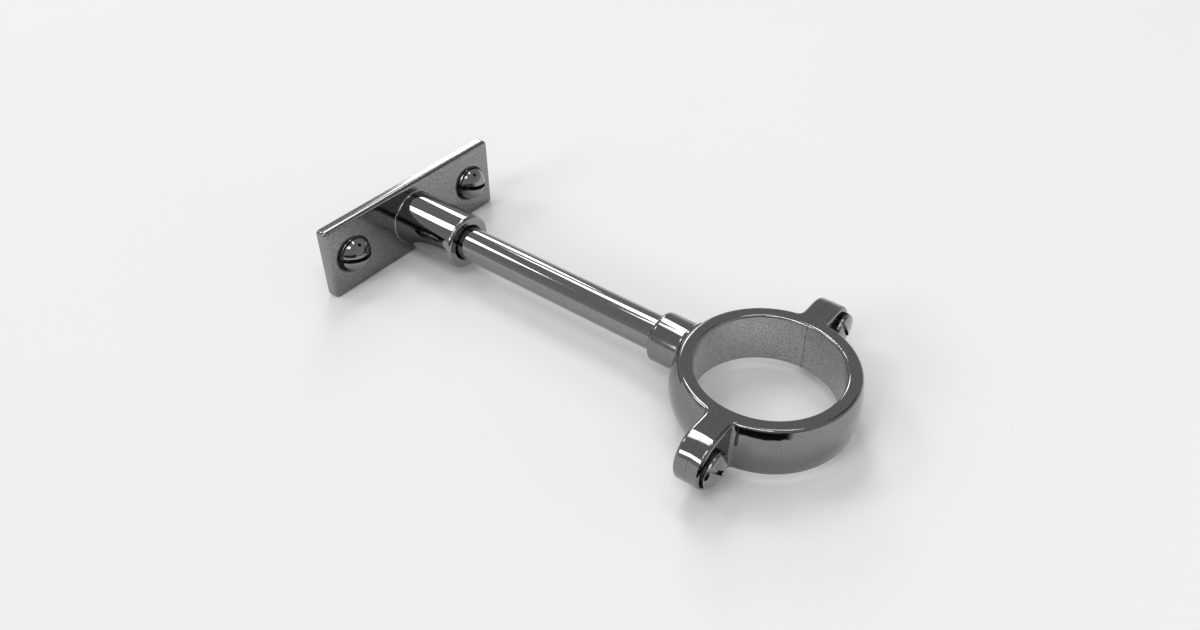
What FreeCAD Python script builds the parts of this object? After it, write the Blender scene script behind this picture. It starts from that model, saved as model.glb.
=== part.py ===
"""Flush pipe support bracket: wall plate, boss, rod, split ring and their screws.

Frame: the origin is the centre of the wall plate's back face. X runs along the plate, the bracket
stands out of the wall along -Y, and Z is up, along the pipe. All sizes are millimetres.
"""
import FreeCAD
import Part

import math
import os

Vec = FreeCAD.Vector

# Main sizes
pipe_diameter = 38.0
stand_off = 129.0

# Wall plate
plate_length = 67.0
plate_height = 22.8
plate_thickness = 3.8
plate_corner_round = 1.2
plate_edge_round = 1.1
plate_back_round = 0.4

# Boss on the plate
boss_diameter = 16.5
boss_length = 22.7
boss_rim_round = 1.0
boss_foot_fillet = 0.5
boss_grip = 18.0
boss_mouth_chamfer = 0.4
spigot_diameter = 10.0

# Rod
rod_diameter = 10.0
rod_end_chamfer = 0.5
rod_clearance = 0.3

# Ring casting
ring_height = 15.0
rear_rim_wall = 3.4
rear_crown = 2.3
front_rim_wall = 3.7
front_crown = 0.9
casting_edge_round = 1.0
bore_edge_round = 0.7
split_gap = 0.05

# Rod socket on the rear half
socket_diameter = 14.0
socket_reach = 8.1
socket_flare = 1.2
socket_sink = 0.6
socket_grip = 10.6
socket_mouth_chamfer = 0.4

# Lugs on both halves
lug_thickness = 3.8
lug_projection = 11.9
lug_rear_fillet = 1.5
lug_front_fillet = 1.2

# Clamp screws
clamp_screw_diameter = 5.0
clamp_screw_setback = 5.3
clamp_screw_inset = 0.3
clamp_head_diameter = 9.5
clamp_head_height = 2.2
clamp_head_side = 1.8
clamp_head_round = 1.1
clamp_slot_width = 1.2
clamp_slot_depth = 0.9
clamp_slot_angles = (-46.0, -58.0)

# Wall screws
wall_screw_spacing = 49.0
wall_screw_diameter = 5.0
wall_core_diameter = 4.4
wall_screw_length = 16.0
wall_screw_point = 5.0
wall_screw_tip = 0.8
wall_head_diameter = 11.0
wall_head_height = 4.3
wall_slot_width = 1.3
wall_slot_depth = 2.3
wall_slot_angles = (-6.0, -12.0)

# Fits
screw_clearance = 0.3
thread_clearance = 0.1

# Sizes that follow from those above
pipe_radius = pipe_diameter / 2
rod_bore_radius = rod_diameter / 2 + rod_clearance
boss_front = plate_thickness + boss_length
rod_start = boss_front - boss_grip
rear_rim_radius = pipe_radius + rear_rim_wall
rear_crown_radius = rear_rim_radius + rear_crown
front_rim_radius = pipe_radius + front_rim_wall
front_crown_radius = front_rim_radius + front_crown
socket_rear = stand_off - rear_crown_radius - socket_reach
rod_finish = socket_rear + socket_grip
half_height = ring_height / 2
lug_reach = rear_crown_radius + lug_projection
lug_end_centre = lug_reach - half_height
clamp_screw_x = lug_reach - clamp_screw_setback


def revolve(outline, point, axis):
    """Turns a closed outline a full turn about an axis."""
    face = Part.Face(Part.Wire(outline))
    return face.revolve(point, axis, 360)


def rod_wise(radius, start, finish):
    """Cylinder on the rod's line, from one distance out of the wall to another."""
    return Part.makeCylinder(radius, finish - start, Vec(0, -start, 0), Vec(0, -1, 0))


def edges_at(body, distance):
    """Edges that lie flat at one distance out of the wall."""
    found = []
    for edge in body.Edges:
        box = edge.BoundBox
        if box.YLength < 0.001 and abs(box.YMax + distance) < 0.001:
            found.append(edge)
    return found


def make_boss_foot():
    """Hollow fillet that runs the boss out onto the plate's face."""
    radius = boss_diameter / 2
    inner = spigot_diameter / 2
    high = plate_thickness + boss_foot_fillet
    sweep = boss_foot_fillet * (1 - math.cos(math.radians(45)))
    face_end = Vec(radius + boss_foot_fillet, -plate_thickness, 0)
    middle = Vec(radius + sweep, -plate_thickness - sweep, 0)
    side_end = Vec(radius, -high, 0)
    outline = [
        Part.makeLine(Vec(inner, -plate_thickness, 0), face_end),
        Part.Arc(face_end, middle, side_end).toShape(),
        Part.makeLine(side_end, Vec(inner, -high, 0)),
        Part.makeLine(Vec(inner, -high, 0), Vec(inner, -plate_thickness, 0)),
    ]
    return revolve(outline, Vec(0, 0, 0), Vec(0, 1, 0))


def make_wall_plate():
    """Flat bar with softened edges, two screw holes and the seat for the boss."""
    corner = Vec(-plate_length / 2, -plate_thickness, -plate_height / 2)
    plate = Part.makeBox(plate_length, plate_thickness, plate_height, corner)
    upright = []
    for edge in plate.Edges:
        along = edge.tangentAt(edge.FirstParameter)
        if abs(along.y) > 0.9:
            upright.append(edge)
    plate = plate.makeFillet(plate_corner_round, upright)
    plate = plate.makeFillet(plate_edge_round, edges_at(plate, plate_thickness))
    plate = plate.makeFillet(plate_back_round, edges_at(plate, 0))
    hole_radius = wall_screw_diameter / 2 + screw_clearance
    for side in (-1, 1):
        base = Vec(side * wall_screw_spacing / 2, 0, 0)
        plate = plate.cut(Part.makeCylinder(hole_radius, plate_thickness, base, Vec(0, -1, 0)))
    return plate.cut(rod_wise(spigot_diameter / 2, 0, plate_thickness))


def make_rod_boss():
    """Turned boss with a rounded rim, a filleted foot, a spigot in the plate and a blind bore for the rod."""
    boss = rod_wise(boss_diameter / 2, plate_thickness, boss_front)
    boss = boss.makeFillet(boss_rim_round, edges_at(boss, boss_front))
    boss = boss.fuse([make_boss_foot(), rod_wise(spigot_diameter / 2, 0, plate_thickness)])
    boss = boss.cut(rod_wise(rod_bore_radius, rod_start, boss_front))
    mouth_start = boss_front - boss_mouth_chamfer
    mouth = Part.makeCone(rod_bore_radius, rod_bore_radius + boss_mouth_chamfer, boss_mouth_chamfer,
                          Vec(0, -mouth_start, 0), Vec(0, -1, 0))
    return boss.cut(mouth).removeSplitter()


def make_support_rod():
    """Plain round bar with chamfered ends, seated in the bottoms of both blind bores."""
    rod = rod_wise(rod_diameter / 2, rod_start, rod_finish)
    ends = edges_at(rod, rod_start) + edges_at(rod, rod_finish)
    return rod.makeChamfer(rod_end_chamfer, ends)


def ring_wise(radius, bottom, top):
    """Upright cylinder on the pipe's line."""
    return Part.makeCylinder(radius, top - bottom, Vec(0, -stand_off, bottom), Vec(0, 0, 1))


def make_barrel(rim_radius, crown_radius):
    """Crowned barrel that a half ring is cut from."""
    centre = Vec(0, -stand_off, 0)
    low_axis = centre + Vec(0, 0, -half_height)
    low_rim = centre + Vec(rim_radius, 0, -half_height)
    middle = centre + Vec(crown_radius, 0, 0)
    high_rim = centre + Vec(rim_radius, 0, half_height)
    high_axis = centre + Vec(0, 0, half_height)
    outline = [
        Part.makeLine(low_axis, low_rim),
        Part.Arc(low_rim, middle, high_rim).toShape(),
        Part.makeLine(high_rim, high_axis),
        Part.makeLine(high_axis, low_axis),
    ]
    return revolve(outline, centre, Vec(0, 0, 1))


def make_lug_bar():
    """Bar with round ends that stands out of the barrel as the two lugs."""
    corner = Vec(-lug_end_centre, -stand_off - lug_thickness, -half_height)
    bar = Part.makeBox(2 * lug_end_centre, 2 * lug_thickness, ring_height, corner)
    for side in (-1, 1):
        base = Vec(side * lug_end_centre, -stand_off - lug_thickness, 0)
        bar = bar.fuse(Part.makeCylinder(half_height, 2 * lug_thickness, base, Vec(0, 1, 0)))
    return bar.removeSplitter()


def lug_root_edges(body):
    """Edges where the lugs' flat front and rear faces meet the barrel."""
    found = []
    for edge in body.Edges:
        box = edge.BoundBox
        in_face = box.YLength < 0.01 and abs(abs(box.Center.y + stand_off) - lug_thickness) < 0.01
        upright = box.ZLength > half_height and abs(box.Center.x) < lug_end_centre
        if in_face and upright:
            found.append(edge)
    return found


def outer_edges(body):
    """Sharp edges round the flat top, the flat bottom and the flat sides of the lugs."""
    found = []
    for edge in body.Edges:
        box = edge.BoundBox
        level = abs(abs((box.ZMin + box.ZMax) / 2) - half_height) < 0.01 and box.ZLength < 0.01
        lug_end = abs(box.Center.x) > lug_end_centre and box.YLength < 0.01
        across = abs(box.YLength - 2 * lug_thickness) < 0.01 and box.XLength < 0.01
        if (level and not across) or lug_end:
            found.append(edge)
    return found


def make_ring_body(rim_radius, crown_radius, root_fillet):
    """Barrel and lugs in one, with the lug roots filleted and every outer edge softened."""
    body = make_barrel(rim_radius, crown_radius).fuse(make_lug_bar()).removeSplitter()
    body = body.makeFillet(root_fillet, lug_root_edges(body))
    return body.makeFillet(casting_edge_round, outer_edges(body))


def make_socket():
    """Round socket for the rod, with a rounded mouth and a flared root, trimmed level with its own top."""
    radius = socket_diameter / 2
    mouth_round = radius - rod_bore_radius - socket_mouth_chamfer
    wall = stand_off - rear_crown_radius
    lean = math.atan2(radius, rear_crown_radius)
    flare_depth = socket_flare * math.cos(lean)
    flare_rise = socket_flare * (1 - math.sin(lean))
    root_radius = radius + flare_rise
    sag = rear_crown_radius - math.sqrt(rear_crown_radius ** 2 - root_radius ** 2)
    root = wall + sag + socket_sink
    inside = stand_off - pipe_radius

    def at(out, across):
        """Point at a distance out of the wall and across from the rod's line."""
        return Vec(across, -out, 0)

    mouth_sweep = mouth_round * (1 - math.cos(math.radians(45)))
    mouth_mid = at(socket_rear + mouth_sweep, radius - mouth_sweep)
    half_flare = (math.pi / 2 - lean) / 2
    flare_start = root - flare_depth
    flare_mid = at(flare_start + socket_flare * math.sin(half_flare),
                   radius + socket_flare * (1 - math.cos(half_flare)))
    points = [
        at(socket_rear, 0),
        at(socket_rear, radius - mouth_round),
        at(socket_rear + mouth_round, radius),
        at(flare_start, radius),
        at(root, root_radius),
        at(inside, root_radius),
        at(inside, 0),
    ]
    outline = [
        Part.makeLine(points[0], points[1]),
        Part.Arc(points[1], mouth_mid, points[2]).toShape(),
        Part.makeLine(points[2], points[3]),
        Part.Arc(points[3], flare_mid, points[4]).toShape(),
        Part.makeLine(points[4], points[5]),
        Part.makeLine(points[5], points[6]),
        Part.makeLine(points[6], points[0]),
    ]
    socket = revolve(outline, Vec(0, 0, 0), Vec(0, 1, 0))
    room = Part.makeBox(4 * radius, stand_off, 2 * radius, Vec(-2 * radius, -stand_off, -radius))
    return socket.common(room)


def cut_pipe_bore(body):
    """Cuts the bore for the pipe and softens its two edges."""
    body = body.cut(ring_wise(pipe_radius, -ring_height, ring_height))
    lips = []
    for edge in body.Edges:
        box = edge.BoundBox
        on_bore = abs(box.XLength - pipe_diameter) < 0.01 and abs(box.YLength - pipe_diameter) < 0.01
        if on_bore and box.ZLength < 0.01:
            lips.append(edge)
    return body.makeFillet(bore_edge_round, lips)


def half_space(front):
    """Block that covers one side of the split, as far as the split gap's edge."""
    size = 4 * lug_reach
    if front:
        return Part.makeBox(size, size, size, Vec(-size / 2, -stand_off - split_gap / 2 - size, -size / 2))
    return Part.makeBox(size, size, size, Vec(-size / 2, -stand_off + split_gap / 2, -size / 2))


def drill_lugs(half, clearance):
    """Drills both lugs of a half ring for the clamp screws."""
    radius = clamp_screw_diameter / 2 + clearance
    for side in (-1, 1):
        base = Vec(side * clamp_screw_x, -stand_off - 2 * lug_thickness, 0)
        half = half.cut(Part.makeCylinder(radius, 4 * lug_thickness, base, Vec(0, 1, 0)))
    return half


def make_rear_half():
    """Rear half ring with the rod socket and tapped lugs."""
    body = make_ring_body(rear_rim_radius, rear_crown_radius, lug_rear_fillet)
    body = body.fuse(make_socket()).removeSplitter()
    half = cut_pipe_bore(body).common(half_space(False))
    half = half.cut(rod_wise(rod_bore_radius, socket_rear, rod_finish))
    return drill_lugs(half, thread_clearance)


def make_front_half():
    """Front half ring, the cap, with plain clearance holes in its lugs."""
    body = make_ring_body(front_rim_radius, front_crown_radius, lug_front_fillet)
    half = cut_pipe_bore(body).common(half_space(True))
    return drill_lugs(half, screw_clearance)


def screw_slot(width, depth, head_height, head_diameter, angle):
    """Straight slot across the top of a head, turned about the screw's line."""
    corner = Vec(-head_diameter, -head_height - depth, -width / 2)
    slot = Part.makeBox(2 * head_diameter, 2 * depth, width, corner)
    slot.rotate(Vec(0, 0, 0), Vec(0, 1, 0), -angle)
    return slot


def domed_head(diameter, height, side):
    """Domed head seated on the XZ plane: a round cap on a straight side, which may have no height."""
    radius = diameter / 2
    rise = height - side
    cap_radius = (radius ** 2 + rise ** 2) / (2 * rise)
    half_angle = math.asin(min(1.0, radius / cap_radius)) / 2
    cap_mid = Vec(cap_radius * math.sin(half_angle), -height + cap_radius * (1 - math.cos(half_angle)), 0)
    seat = Vec(radius, 0, 0)
    shoulder = Vec(radius, -side, 0)
    top = Vec(0, -height, 0)
    outline = [
        Part.makeLine(Vec(0, 0, 0), seat),
        Part.Arc(shoulder, cap_mid, top).toShape(),
        Part.makeLine(top, Vec(0, 0, 0)),
    ]
    if side > 0:
        outline.insert(1, Part.makeLine(seat, shoulder))
    return revolve(outline, Vec(0, 0, 0), Vec(0, 1, 0))


def pan_head(diameter, height, side, shoulder_round):
    """Low domed head with its shoulder rounded off."""
    head = domed_head(diameter, height, side)
    shoulder = []
    for edge in head.Edges:
        box = edge.BoundBox
        if box.YLength < 0.001 and abs(box.YMax + side) < 0.001 and box.XLength > diameter / 2:
            shoulder.append(edge)
    return head.makeFillet(shoulder_round, shoulder)


def make_screw(head, shank, slot):
    """Fuses a head to its shank and cuts the slot."""
    return head.fuse(shank).removeSplitter().cut(slot)


def make_clamp_screws():
    """Two slotted pan head screws, heads on the front half and threads in the rear half."""
    seat = stand_off + lug_thickness
    length = 2 * lug_thickness - clamp_screw_inset
    head = pan_head(clamp_head_diameter, clamp_head_height, clamp_head_side, clamp_head_round)
    shank = Part.makeCylinder(clamp_screw_diameter / 2, length, Vec(0, 0, 0), Vec(0, 1, 0))
    screws = []
    for side, angle in zip((-1, 1), clamp_slot_angles):
        slot = screw_slot(clamp_slot_width, clamp_slot_depth, clamp_head_height, clamp_head_diameter, angle)
        screw = make_screw(head, shank, slot)
        screw.translate(Vec(side * clamp_screw_x, -seat, 0))
        screws.append(screw)
    return Part.makeCompound(screws)


def make_wall_shank():
    """Plain neck through the plate, then the thread's core and its point behind the plate."""
    core_radius = wall_core_diameter / 2
    point_start = wall_screw_length - wall_screw_point
    out = Vec(0, 1, 0)
    neck = Part.makeCylinder(wall_screw_diameter / 2, plate_thickness, Vec(0, 0, 0), out)
    core = Part.makeCylinder(core_radius, point_start, Vec(0, 0, 0), out)
    point = Part.makeCone(core_radius, wall_screw_tip / 2, wall_screw_point, Vec(0, point_start, 0), out)
    return neck.fuse([core, point])


def make_wall_screws():
    """Two slotted round head screws, heads on the plate and threads standing out of its back."""
    head = domed_head(wall_head_diameter, wall_head_height, 0)
    shank = make_wall_shank()
    screws = []
    for side, angle in zip((-1, 1), wall_slot_angles):
        slot = screw_slot(wall_slot_width, wall_slot_depth, wall_head_height, wall_head_diameter, angle)
        screw = make_screw(head, shank, slot)
        screw.translate(Vec(side * wall_screw_spacing / 2, -plate_thickness, 0))
        screws.append(screw)
    return Part.makeCompound(screws)


def main():
    """Builds every piece and writes one file for each."""
    os.makedirs("parts", exist_ok=True)
    pieces = {
        "wall_plate": make_wall_plate(),
        "rod_boss": make_rod_boss(),
        "support_rod": make_support_rod(),
        "ring_rear_half": make_rear_half(),
        "ring_front_half": make_front_half(),
        "clamp_screws": make_clamp_screws(),
        "wall_screws": make_wall_screws(),
    }
    for name, shape in pieces.items():
        shape.exportStep("parts/" + name + ".step")


main()
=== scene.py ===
"""Studio scene of a chrome flush pipe support bracket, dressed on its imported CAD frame."""

import logging
import math
from dataclasses import dataclass
from enum import Enum
from functools import reduce
from typing import Union

import bmesh
import bpy
from mathutils import Matrix, Vector


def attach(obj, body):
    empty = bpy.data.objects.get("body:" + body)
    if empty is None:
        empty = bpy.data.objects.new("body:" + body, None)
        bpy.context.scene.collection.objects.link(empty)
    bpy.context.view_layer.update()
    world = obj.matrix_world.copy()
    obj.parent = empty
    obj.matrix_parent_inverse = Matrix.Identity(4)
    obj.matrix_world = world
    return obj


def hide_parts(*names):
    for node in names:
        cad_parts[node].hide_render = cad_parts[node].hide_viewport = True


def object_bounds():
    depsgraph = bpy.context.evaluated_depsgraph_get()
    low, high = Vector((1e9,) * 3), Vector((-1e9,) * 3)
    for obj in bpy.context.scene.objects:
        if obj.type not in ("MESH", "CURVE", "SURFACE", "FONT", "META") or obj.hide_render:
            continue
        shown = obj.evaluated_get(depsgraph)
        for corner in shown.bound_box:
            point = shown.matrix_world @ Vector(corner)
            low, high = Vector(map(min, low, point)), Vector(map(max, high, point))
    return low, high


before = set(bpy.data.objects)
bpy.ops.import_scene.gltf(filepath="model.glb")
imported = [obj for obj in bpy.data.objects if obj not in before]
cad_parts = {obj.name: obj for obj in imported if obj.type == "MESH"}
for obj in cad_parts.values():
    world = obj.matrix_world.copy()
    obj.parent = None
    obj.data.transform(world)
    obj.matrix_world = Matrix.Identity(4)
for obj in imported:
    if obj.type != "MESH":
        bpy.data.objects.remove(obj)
cad_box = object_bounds()

log = logging.getLogger("bracket")

MM = 0.001

# Sizes of the CAD model that several finishes and pieces share
PLATE_THICKNESS = 3.8 * MM
BOSS_RADIUS = 8.25 * MM
WALL_SCREW_SPACING = 49.0 * MM
WALL_HEAD_RADIUS = 5.5 * MM
CLAMP_SCREW_SPACING = 62.6 * MM
LUG_FACE = -132.8 * MM

# How the loose triangles of a CAD mesh are joined, and which edges stay sharp
JOIN_REACH = 0.0005 * MM
CAST_CREASE = math.radians(28.0)

Socket = bpy.types.NodeSocket
Feed = Union[Socket, float, int, bool, tuple]
Pair = tuple[float, float]


def grey(level: float) -> tuple[float, float, float, float]:
    """A grey colour for a node's input."""
    return level, level, level, 1.0


def both_sides(spacing: float) -> Pair:
    """Centres of two screws that stand a spacing apart about the middle."""
    return -spacing / 2.0, spacing / 2.0


def stand(name: str, data: bpy.types.ID) -> bpy.types.Object:
    """Puts a mesh, a lamp or a camera into the scene.

    Args:
        name: Name of the object.
        data: What the object holds.

    Returns:
        The new object, at the origin.
    """
    holder = bpy.data.objects.new(name, data)
    bpy.context.scene.collection.objects.link(holder)
    return holder


def settled(holder: bpy.types.Object) -> bpy.types.Mesh:
    """Copies an object's mesh as its modifiers leave it."""
    graph = bpy.context.evaluated_depsgraph_get()
    return bpy.data.meshes.new_from_object(holder.evaluated_get(graph), depsgraph=graph)


class Wiring:
    """Lays nodes into one node tree and joins them up."""

    COLOUR_A = 6
    COLOUR_B = 7
    COLOUR_RESULT = 2

    def __init__(self, tree: bpy.types.NodeTree) -> None:
        """Empties the node tree that the nodes go into."""
        self.tree = tree
        tree.nodes.clear()

    def node(self, kind: str, feeds: dict | None = None, **settings: object) -> bpy.types.Node:
        """Adds one node.

        Args:
            kind: Blender's type name of the node.
            feeds: What goes into its inputs, by name or place: a socket or a value.
            **settings: The node's own properties.

        Returns:
            The new node.
        """
        made = self.tree.nodes.new(kind)
        for name, value in settings.items():
            setattr(made, name, value)
        for name, feed in (feeds or {}).items():
            self.feed(made.inputs[name], feed)
        return made

    def feed(self, socket: Socket, feed: Feed) -> None:
        """Links a socket to an input, or sets the input's own value.

        Args:
            socket: The input.
            feed: The socket or the value that goes into it.
        """
        if isinstance(feed, bpy.types.NodeSocket):
            self.tree.links.new(feed, socket)
        else:
            socket.default_value = feed

    def math(self, operation: str, a: Feed, b: Feed = 0.0) -> Socket:
        """Adds a Math node and gives its result."""
        return self.node("ShaderNodeMath", {0: a, 1: b}, operation=operation).outputs[0]

    def product(self, *shares: Feed) -> Socket:
        """Multiplies two or more shares."""
        return reduce(lambda a, b: self.math("MULTIPLY", a, b), shares)

    def most(self, *shares: Feed) -> Socket:
        """Takes the largest of two or more shares."""
        return reduce(lambda a, b: self.math("MAXIMUM", a, b), shares)

    def mix(self, factor: Feed, a: Feed, b: Feed) -> Socket:
        """Mixes two numbers."""
        return self.node("ShaderNodeMix", {"Factor": factor, "A": a, "B": b}).outputs[0]

    def blend(self, factor: Feed, a: Feed, b: Feed) -> Socket:
        """Mixes two colours."""
        feeds = {"Factor": factor, self.COLOUR_A: a, self.COLOUR_B: b}
        return self.node("ShaderNodeMix", feeds, data_type="RGBA").outputs[self.COLOUR_RESULT]

    def shared(self, factor: Feed, a: Socket, b: Socket) -> Socket:
        """Mixes two shaders."""
        return self.node("ShaderNodeMixShader", {0: factor, 1: a, 2: b}).outputs[0]

    def ease(self, value: Feed, start: float, end: float, low: Feed = 0.0, high: Feed = 1.0) -> Socket:
        """Eases from low, where a value is at start, to high, where it is at end."""
        feeds = {"Value": value, "From Min": start, "From Max": end, "To Min": low, "To Max": high}
        return self.node("ShaderNodeMapRange", feeds, interpolation_type="SMOOTHSTEP").outputs[0]

    def noise(self, place: Socket, scale: float, detail: float, distortion: float = 0.0) -> Socket:
        """Adds a Noise Texture, scaled in blotches to the metre, and gives its factor."""
        feeds = {"Vector": place, "Scale": scale, "Detail": detail, "Distortion": distortion}
        return self.node("ShaderNodeTexNoise", feeds).outputs[0]

    def bump(self, height: Feed, depth: Feed, below: Socket | None = None) -> Socket:
        """Tilts the surface as a height would.

        Args:
            height: The height, in depths.
            depth: The depth in metres.
            below: The normal of a form under this one.

        Returns:
            The tilted normal.
        """
        feeds = {"Height": height, "Distance": depth, "Strength": 1.0}
        if below is not None:
            feeds["Normal"] = below
        return self.node("ShaderNodeBump", feeds).outputs[0]

    def vector(self, operation: str, a: Feed, b: Feed = (0.0, 0.0, 0.0)) -> bpy.types.Node:
        """Adds a Vector Math node."""
        return self.node("ShaderNodeVectorMath", {0: a, 1: b}, operation=operation)

    def parts_of(self, vector: Socket) -> tuple[Socket, Socket, Socket]:
        """Splits a vector into its three numbers."""
        split = self.node("ShaderNodeSeparateXYZ", {0: vector})
        return split.outputs[0], split.outputs[1], split.outputs[2]

    def reach(self, across: Feed, up: Feed, centre: Pair = (0.0, 0.0)) -> Socket:
        """Distance from an axis.

        Args:
            across: First coordinate in the plane square to the axis.
            up: Second coordinate in that plane.
            centre: Where the axis passes through the plane.

        Returns:
            The distance in metres.
        """
        first = self.math("POWER", self.math("SUBTRACT", across, centre[0]), 2.0)
        second = self.math("POWER", self.math("SUBTRACT", up, centre[1]), 2.0)
        return self.math("SQRT", self.math("ADD", first, second))

    def disc(self, across: Feed, up: Feed, centre: Pair, radius: float, edge: Pair) -> Socket:
        """Marks a disc that ends at the edge's first distance past the radius and is whole at its second."""
        return self.ease(self.reach(across, up, centre), radius + edge[0], radius + edge[1])

    def turned(self, across: Feed, up: Feed, angle: float) -> tuple[Socket, Socket]:
        """Coordinates that follow a line through the origin.

        Args:
            across: First coordinate in the plane.
            up: Second coordinate in the plane.
            angle: Turn of the line in radians.

        Returns:
            The coordinate along the line, and the one square to it.
        """
        cosine, sine = math.cos(angle), math.sin(angle)
        along = self.math("ADD", self.product(across, cosine), self.product(up, sine))
        off = self.math("ADD", self.product(across, -sine), self.product(up, cosine))
        return along, off


class Canvas(Wiring):
    """Node tree of a new material, with the object's own coordinates."""

    def __init__(self, name: str) -> None:
        """Makes the material.

        Args:
            name: Name of the material.
        """
        self.material = bpy.data.materials.new(name)
        self.material.use_nodes = True
        super().__init__(self.material.node_tree)
        self.place = self.node("ShaderNodeTexCoord").outputs["Object"]
        self.across, self.along, self.up = self.parts_of(self.place)

    def done(self, surface: Socket) -> bpy.types.Material:
        """Ends the tree with a surface and gives the material."""
        self.node("ShaderNodeOutputMaterial", {"Surface": surface})
        return self.material


@dataclass(frozen=True)
class Patches:
    """Blotches of a noise, cut off below start and whole past end."""

    scale: float
    start: float
    end: float
    detail: float = 3.0
    distortion: float = 0.0

    def lay(self, sheet: Canvas, low: float, high: float) -> Socket:
        """Spreads the blotches over a surface, from low between them to high on them."""
        cloud = sheet.noise(sheet.place, self.scale, self.detail, self.distortion)
        return sheet.ease(cloud, self.start, self.end, low, high)


@dataclass(frozen=True)
class HeadMarks:
    """Round marks behind the heads of two screws, which may lean out to one side."""

    spacing: float
    radius: float
    lean: Pair
    edge: Pair

    def draw(self, sheet: Canvas) -> Socket:
        """Where the marks are, from 0 to 1."""
        centres = [(middle + self.lean[0], self.lean[1]) for middle in both_sides(self.spacing)]
        return sheet.most(*(sheet.disc(sheet.across, sheet.up, at, self.radius, self.edge) for at in centres))


@dataclass(frozen=True)
class Chrome:
    """Bright chrome plating: a mirror with a slow ripple, smears, fine grain, dirt in the joints and painted
    shade round screw heads.
    """

    name: str
    # About half as bright as bare chrome, to meet the tones of the photograph
    tint: tuple[float, float, float] = (0.284, 0.287, 0.291)
    polish: float = 0.045
    smear: float = 0.035
    smears: Patches = Patches(55.0, 0.42, 0.68, 4.0, 0.6)
    satin_polish: float = 0.1
    satin_spread: float = 0.2
    speckle: Patches = Patches(700.0, 0.3, 0.7)
    ripple_depth: float = 0.04 * MM
    ripple_scale: float = 70.0
    grain_depth: float = 0.0015 * MM
    grain_scale: float = 1300.0
    satin_grain_depth: float = 0.012 * MM
    mottle: float = 0.08
    satin_mottle: float = 0.3
    satin_gain: float = 1.0
    fleck_span: Pair = (0.62, 0.34)
    # Near-black taken both by the dirt and by the painted shade
    soil: float = 0.005
    black_rough: float = 0.5

    def satin(self, sheet: Canvas) -> Feed:
        """Where the surface is satin and not mirror bright, from 0 to 1."""
        return 0.0

    def dirt_and_shade(self, sheet: Canvas) -> Feed:
        """Where dirt has settled and where shade is painted, from 0 to 1."""
        return 0.0

    def grain_place(self, sheet: Canvas) -> Socket:
        """Coordinates that the fine grain follows."""
        return sheet.place

    def relief(self, sheet: Canvas) -> Feed:
        """Height in metres of any soft form that the plating follows."""
        return 0.0

    def roughness(self, sheet: Canvas, satin: Feed, dirt_and_shade: Feed) -> Socket:
        """How blurred the plating mirrors.

        Args:
            sheet: The material's nodes.
            satin: Where the surface is satin.
            dirt_and_shade: Where dirt has settled, and where shade is painted.

        Returns:
            The roughness.
        """
        clean = self.smears.lay(sheet, self.polish, self.polish + self.smear)
        low, high = (self.satin_polish * (1.0 + way * self.satin_spread) for way in (-1.0, 1.0))
        glossy = sheet.mix(satin, clean, self.speckle.lay(sheet, low, high))
        return sheet.mix(dirt_and_shade, glossy, self.black_rough)

    def colour(self, sheet: Canvas, satin: Feed, dirt_and_shade: Feed) -> Socket:
        """The metal's colour with its dark flecks, the dirt and the painted shade.

        Args:
            sheet: The material's nodes.
            satin: Where the surface is satin.
            dirt_and_shade: Where dirt has settled, and where shade is painted.

        Returns:
            The colour.
        """
        fleck = sheet.ease(sheet.noise(sheet.place, self.grain_scale, detail=3.0), *self.fleck_span)
        dimmed = sheet.product(fleck, sheet.mix(satin, self.mottle, self.satin_mottle))
        bright = tuple(self.satin_gain * part for part in self.tint) + (1.0,)
        metal = sheet.blend(satin, self.tint + (1.0,), bright)
        return sheet.blend(dirt_and_shade, sheet.blend(dimmed, metal, grey(0.0)), grey(self.soil))

    def surface(self, sheet: Canvas, satin: Feed) -> Socket:
        """The soft form, the slow ripple and the fine grain, one over the other.

        Args:
            sheet: The material's nodes.
            satin: Where the surface is satin.

        Returns:
            The tilted normal.
        """
        form = sheet.bump(self.relief(sheet), depth=1.0)
        ripple = sheet.noise(sheet.place, self.ripple_scale, detail=1.0)
        swell = sheet.bump(ripple, self.ripple_depth, form)
        grain = sheet.noise(self.grain_place(sheet), self.grain_scale, detail=2.0)
        return sheet.bump(grain, sheet.mix(satin, self.grain_depth, self.satin_grain_depth), swell)

    def material(self) -> bpy.types.Material:
        """Builds the finish.

        Returns:
            A new node material.
        """
        sheet = Canvas(self.name)
        satin = self.satin(sheet)
        dirt_and_shade = self.dirt_and_shade(sheet)
        feeds = {
            "Base Color": self.colour(sheet, satin, dirt_and_shade),
            "Roughness": self.roughness(sheet, satin, dirt_and_shade),
            "Normal": self.surface(sheet, satin),
            "Metallic": sheet.math("SUBTRACT", 1.0, dirt_and_shade),
            "Specular IOR Level": 0.0,
        }
        return sheet.done(sheet.node("ShaderNodeBsdfPrincipled", feeds).outputs[0])


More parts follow.
